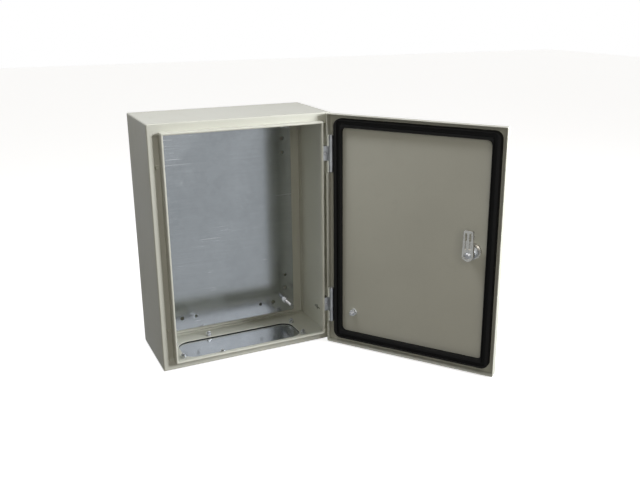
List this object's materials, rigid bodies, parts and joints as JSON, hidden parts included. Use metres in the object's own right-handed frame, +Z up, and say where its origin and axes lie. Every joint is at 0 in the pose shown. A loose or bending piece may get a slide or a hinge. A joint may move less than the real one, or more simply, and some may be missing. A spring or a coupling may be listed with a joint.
{
  "type": "steel wall enclosure",
  "caption": "Painted sheet-steel wall enclosure with hinged, gasketed door, quarter-turn cam lock, galvanised mounting plate on studs and bolted gland plate in the base",
  "frame": {"origin": "centre of the back panel's outer face, which is the centre of the pattern of four wall holes", "axes": "+Y points out of the back face into the wall, so the open front faces -Y; +Z is up; +X is to the right for someone who faces the front, the side that the door hangs on"},
  "size_m": [0.4722, 0.3872, 0.403],
  "materials": {
    "paint": "fine textured polyester powder coat, light grey",
    "galvanised": "hot-dip galvanised sheet, lightly scratched",
    "zinc_plated": "bright zinc plate",
    "steel": "bright steel",
    "foam": "matt foamed-in-place polyurethane, black",
    "cast_zinc": "die-cast zinc, satin",
    "nickel": "satin nickel plate",
    "plug": "moulded plastic, light grey"
  },
  "bodies": {
    "box": {"body_wrapper": "paint", "back_panel": "paint", "mounting_plate": "galvanised", "plate_studs": "steel", "plate_spacers": "steel", "plate_washers": "zinc_plated", "plate_nuts": "zinc_plated", "gland_plate": "galvanised", "gland_gasket": "foam", "gland_studs": "steel", "gland_washers": "zinc_plated", "gland_nuts": "zinc_plated", "hinge_hole_plugs": "plug", "body_hinge_upper": "cast_zinc", "body_hinge_lower": "cast_zinc", "hinge_screws": "steel", "hinge_washers": "zinc_plated", "hinge_nuts": "zinc_plated"},
    "door": {"door_shell": "paint", "door_gasket": "foam", "door_hinge_upper": "cast_zinc", "door_hinge_lower": "cast_zinc", "hinge_pin_upper": "steel", "hinge_pin_lower": "steel", "door_earth_stud": "steel", "door_earth_washer": "zinc_plated", "door_earth_nut": "zinc_plated", "lock_housing": "cast_zinc", "lock_seal": "foam", "lock_nut": "nickel"},
    "cam": {"lock_insert": "nickel", "lock_cam": "nickel", "cam_washer": "zinc_plated", "cam_screw": "steel"}
  },
  "joints": [
    {"name": "door_hinge", "type": "hinge", "parent": "box", "child": "door", "pos_m": [0.145, -0.1438, 0], "axis": [0, 0, 1], "range_deg": [-126, 4]},
    {"name": "lock_turn", "type": "hinge", "parent": "door", "child": "cam", "pos_m": [0.28527, -0.34843, 0.002], "axis": [0.809, 0.5878, 0], "range_deg": [0, 90]}
  ]
}
